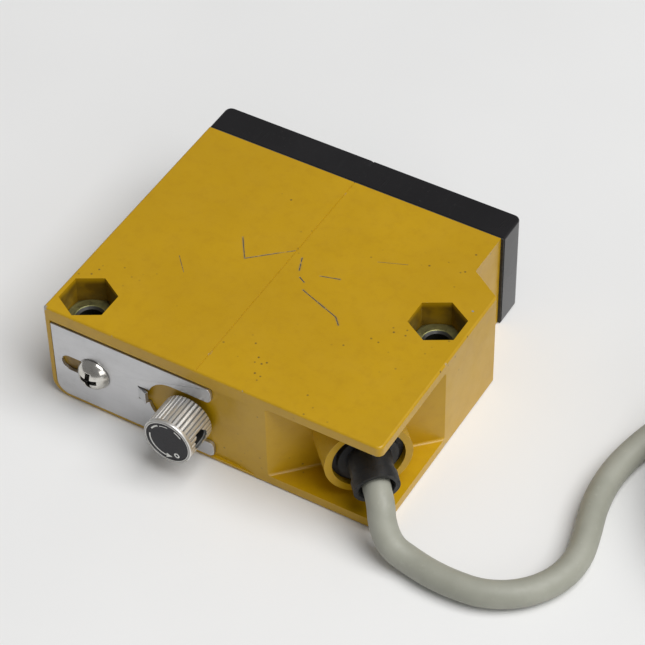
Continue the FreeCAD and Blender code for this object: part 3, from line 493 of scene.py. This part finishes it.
MOULDED = {                    # two tones, least and most roughness, and what differs from the usual
    "gasket_rubber": ((0.02, 0.02, 0.02), (0.035, 0.035, 0.035), 0.6, 0.8, {}),
    "dial_black": ((0.012, 0.011, 0.014), (0.015, 0.014, 0.018), 0.35, 0.45, {"scale": 2500, "ior": 1.35}),
    "gland_rubber": ((0.006, 0.006, 0.0065), (0.010, 0.010, 0.010), 0.42, 0.6, {}),
    "cable_jacket": ((0.350, 0.350, 0.295), (0.300, 0.302, 0.250), 0.42, 0.58,
                     {"scale": 700, "depth": 0.02}),
    "lens_clear": ((0.9, 0.9, 0.92), (0.85, 0.87, 0.9), 0.03, 0.06, {"transmission": 1.0}),
    "carrier_black": ((0.02, 0.02, 0.02), (0.03, 0.03, 0.03), 0.6, 0.75, {}),
    "led_clear": ((0.75, 0.8, 0.95), (0.7, 0.75, 0.9), 0.05, 0.1, {"transmission": 0.9}),
    "diode_black": ((0.02, 0.015, 0.02), (0.03, 0.02, 0.03), 0.2, 0.3, {}),
    "board_green": ((0.02, 0.13, 0.05), (0.03, 0.17, 0.07), 0.3, 0.4, {}),
    "chip_black": ((0.02, 0.02, 0.02), (0.03, 0.03, 0.03), 0.5, 0.6, {}),
    "capacitor_sleeve": ((0.02, 0.03, 0.08), (0.03, 0.04, 0.1), 0.25, 0.35, {}),
    "pot_blue": ((0.03, 0.08, 0.22), (0.04, 0.1, 0.26), 0.4, 0.5, {}),
    "core_brown": ((0.13, 0.045, 0.015), (0.16, 0.06, 0.02), 0.35, 0.45, {"scale": 2000}),
    "core_blue": ((0.015, 0.07, 0.35), (0.02, 0.09, 0.40), 0.35, 0.45, {"scale": 2000}),
    "core_black": ((0.012, 0.012, 0.012), (0.02, 0.02, 0.02), 0.35, 0.45, {"scale": 2000}),
    "tie_black": ((0.012, 0.012, 0.012), (0.02, 0.02, 0.02), 0.4, 0.55, {"scale": 1500}),
    "white_print": ((0.78, 0.78, 0.75), (0.70, 0.70, 0.66), 0.45, 0.6, {"scale": 4000}),
}
METALS = {                     # light and dark tone, then as above
    "sheet_steel": ((0.60, 0.60, 0.61), (0.53, 0.53, 0.54), 0.34, 0.46,
                    {"stretch": (0.06, 1, 1), "scale": 3000, "depth": 0.0015, "grime_amount": 0.10}),
    "screw_black": ((0.03, 0.03, 0.03), (0.02, 0.02, 0.02), 0.4, 0.6, {"spread": 300}),
    "tinplate": ((0.70, 0.70, 0.68), (0.6, 0.6, 0.58), 0.25, 0.4, {}),
    "shaft_brass": ((0.72, 0.55, 0.25), (0.6, 0.45, 0.2), 0.2, 0.3, {}),
    "clamp_brass": ((0.70, 0.53, 0.25), (0.6, 0.45, 0.2), 0.25, 0.35, {}),
    "ferrule_tin": ((0.76, 0.74, 0.70), (0.6, 0.58, 0.54), 0.2, 0.35, {"spread": 500}),
}
LOOKS = {
    "yellow_paint": paint_look(), "window_black": window_look(), "nut_chromate": nut_look(),
    "screw_nickel": screw_look(), "knob_nickel": knob_look(),
}
for make, rows in ((moulded_look, MOULDED), (metal_look, METALS)):
    for name, (first, second, low, high, extra) in rows.items():
        LOOKS[name] = make(name, first, second, low, high, **extra)


# Cord: the visible run, then the rest in a neat coil, tied

GLAND_DROOP = math.radians(10)
GLAND_LEAN = math.radians(2)         # the neck leans a little towards the knob
NECK = 5.1                           # mm
CABLE_WAY = Vector((1, -1, 0)).normalized()
NECK_WAY = (Matrix.Rotation(-GLAND_LEAN, 3, "Z") @ CABLE_WAY * math.cos(GLAND_DROOP)
            - Vector((0, 0, 1)) * math.sin(GLAND_DROOP)).normalized()
KNEE = case(49.95, 10.05, 9.5) + CABLE_WAY * 7.6 * MM
CABLE_EXIT = KNEE + NECK_WAY * NECK * MM
ROUTE = [CABLE_EXIT, CABLE_EXIT + NECK_WAY * 2.5 * MM, case(61.6, -2.6, 5.9), case(63.9, -3.9, 3.2)]
ROUTE += [case(x, y, CABLE_WIDTH / 2) for x, y in [
    (67.0, -4.0), (70.6, -4.7), (74.6, -4.9), (79.7, -4.4), (84.5, -1.7), (87.9, 2.7), (89.1, 8.1),
    (88.0, 13.5), (86.3, 19.4), (85.8, 26.0), (86.9, 33.0), (89.4, 41.2), (92.6, 48.9),
    (97.0, 55.6), (101.5, 61.2)]]

coil_low, coil_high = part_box("cable_coil")
COIL_CENTRE = Vector(((coil_low.x + coil_high.x) / 2, (coil_low.y + coil_high.y) / 2, 0))
RINGS = [(33.0, 0), (28.6, 0), (24.2, 0), (19.8, 0), (19.8, 1), (24.2, 1), (28.6, 1), (33.0, 1),
         (33.0, 2), (28.6, 2), (24.2, 2)]            # radius in mm and layer of each turn, in winding order
POINTS_A_TURN = 24
COIL_START = 132.0                   # degrees, the first turn's first point
JOG = 165.0                          # degrees, where each turn passes on to the next
JOG_HALF = 24.0                      # degrees to either side over which it does
JACKET_END = 175.0                   # degrees
CLEARANCE = 0.03                     # mm, keeps the turns inside the CAD coil
# a spline's control points lie further out than its curve by this factor
BULGE = 2 / (math.cos(math.pi / POINTS_A_TURN) + (3 + math.cos(2 * math.pi / POINTS_A_TURN)) / 4)


def coil_points():
    """Control points of the turns, clockwise seen from above."""
    turned = 0.0
    first_jog = (COIL_START - JOG) % 360.0
    total = first_jog + (len(RINGS) - 1) * 360.0 - (JACKET_END - JOG)
    points = []
    while turned <= total:
        # how many changes of turn lie behind, with a smooth step through each
        passed = (turned - first_jog) / 360.0
        ring = math.floor(passed + 0.5)
        off = (passed - ring) * 360.0
        ease = min(1.0, max(0.0, (off + JOG_HALF) / (2 * JOG_HALF)))
        ease = ease * ease * (3 - 2 * ease)
        before = RINGS[min(max(ring, 0), len(RINGS) - 1)]
        after = RINGS[min(max(ring + 1, 0), len(RINGS) - 1)]
        radius = before[0] + (after[0] - before[0]) * ease
        layer = before[1] + (after[1] - before[1]) * ease
        angle = math.radians(COIL_START - turned)
        outwards = Vector((math.cos(angle), math.sin(angle), 0)) * (radius - CLEARANCE) * MM * BULGE
        points.append(COIL_CENTRE + outwards
                      + Vector((0, 0, (CABLE_WIDTH / 2 + CABLE_WIDTH * layer) * MM)))
        turned += 360.0 / POINTS_A_TURN
    return points


cable = nurbs("cable_line", ROUTE + coil_points(), CABLE_WIDTH / 2 * MM - 0.01 * MM, resolution=5)
finish_piece(cable, LOOKS["cable_jacket"], "cable")
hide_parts("cable_coil")


def on_coil(angle, distance, height):
    """A point from degrees and millimetres off the coil's middle, and a height in mm."""
    turned = math.radians(angle)
    return COIL_CENTRE + Vector((math.cos(turned) * distance, math.sin(turned) * distance, height)) * MM


LEAD_RADIUS = 0.6                    # mm
LYING = 2 * CABLE_WIDTH + 0.65       # mm, a lead's height on the coil's second layer
for node, spread in (("lead_brown", 1.0), ("lead_blue", 0.0), ("lead_black", -1.0)):
    lead = nurbs(node + "_line", [
        on_coil(176, 24.2 + 0.9 * spread, LYING + 1.5), on_coil(157, 23.4 + 1.0 * spread, LYING + 1.1),
        on_coil(137, 21.4 + 1.1 * spread, LYING + 0.2), on_coil(116, 20.3 + 1.1 * spread, LYING),
        on_coil(95 - 2 * spread, 19.9 + 1.3 * spread, LYING),
        on_coil(73 - 6 * spread, 18.7 + 1.35 * spread, LYING)], LEAD_RADIUS * MM)
    finish_piece(lead, LOOKS[SLOT_OF[node]], node)


# CAD nodes that keep their own shape

SOFT_EDGES = {                       # mm
    "housing": 0.14, "optical_window": 0.25, "lock_plate": 0.10, "lock_plate_screw": 0.10,
    "mounting_nuts": 0.12, "knob": 0.03, "knob_disc": 0.05, "cable_gland": 0.25, "window_gasket": 0.03,
    "coil_tie": 0.2, "wire_ferrules": 0.05,
}
CRISP_NUTS = 12.0                    # degrees, so that their chamfers show
for node, width in SOFT_EDGES.items():
    piece = refined(node, width * MM, LOOKS[SLOT_OF[node]],
                    CRISP_NUTS if node == "mounting_nuts" else SMOOTH_BELOW)
for node, part in frame["nodes"].items():
    if not part.hide_render:
        part.data.materials.clear()
        part.data.materials.append(LOOKS[SLOT_OF[node]])


# White print on the dial: a long arc that ends in an arrowhead, short arcs above, and a plain ring

INK_LIFT = 0.012 * MM                # in front of the disc
ARC_RADIUS = 3.05                    # mm
ARCS = ((172, 266, 0.26), (150, 120, 0.28), (114, 86, 0.14), (64, 38, 0.22))     # degrees, width in mm
ARC_STEPS = 20
RING_AT = (304, 2.85)                # degrees and mm
RING_RADII = (0.25, 0.50)            # mm
disc_low, disc_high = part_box("knob_disc")
DIAL_CENTRE = Vector(((disc_low.x + disc_high.x) / 2, disc_low.y - INK_LIFT,
                      (disc_low.z + disc_high.z) / 2))


def on_dial(angle, distance):
    """A point on the dial from degrees and millimetres off its centre."""
    turned = math.radians(angle)
    return DIAL_CENTRE + Vector((math.cos(turned), 0, math.sin(turned))) * distance * MM


def stroke(bm, near, far):
    """A flat strip between two rows of points."""
    rows = [(bm.verts.new(a), bm.verts.new(b)) for a, b in zip(near, far)]
    for (a, b), (c, d) in zip(rows, rows[1:]):
        bm.faces.new((a, b, d, c))


def dial_print(bm):
    """The arcs, the arrowhead at the end of the first one, and the ring."""
    for start, end, width in ARCS:
        steps = [start + (end - start) * k / ARC_STEPS for k in range(ARC_STEPS + 1)]
        stroke(bm, [on_dial(a, ARC_RADIUS) for a in steps], [on_dial(a, ARC_RADIUS + width) for a in steps])
    stroke(bm, [on_dial(264, 2.68), on_dial(284, 3.17)], [on_dial(264, 3.64), on_dial(284, 3.19)])
    round_ring = [math.radians(k * 15) for k in range(25)]
    middle = on_dial(*RING_AT)
    stroke(bm, *([middle + Vector((math.cos(a), 0, math.sin(a))) * size * MM for a in round_ring]
                 for size in RING_RADII))


finish_piece(mesh_piece("dial_print", dial_print), LOOKS["white_print"], body=KNOB)


# Floor and light

FLOOR_SIZE = 4.0
FLOOR_DROP = 0.00005                 # keeps the paper's face off the case's
floor = mesh_piece("floor",
                   lambda bm: bmesh.ops.create_grid(bm, x_segments=2, y_segments=2, size=FLOOR_SIZE))
floor.location.z = -FLOOR_DROP
floor.data.materials.append(floor_look())

WORLD_LIGHT = 0.21
world = bpy.data.worlds.new("studio")
world.use_nodes = True
background = world.node_tree.nodes["Background"].inputs
background["Color"].default_value = (1.0, 1.0, 1.0, 1.0)
background["Strength"].default_value = WORLD_LIGHT
bpy.context.scene.world = world
bpy.context.scene.view_settings.view_transform = "Standard"


def area_light(name, offset, size, power):
    """A soft light at that offset in metres from the case's middle, which it faces."""
    light = bpy.data.lights.new(name, "AREA")
    light.shape = "RECTANGLE"
    light.size, light.size_y = size
    light.energy = power
    lamp = link(bpy.data.objects.new(name, light))
    lamp.location = CENTRE + Vector(offset)
    lamp.rotation_euler = (CENTRE - lamp.location).to_track_quat("-Z", "Y").to_euler()


CENTRE = case(35, 22, 8)
area_light("key", (0.70, 0.05, 1.35), (1.2, 1.2), 23.5)
area_light("right_fill", (1.20, -0.60, 0.60), (0.9, 0.7), 2.8)
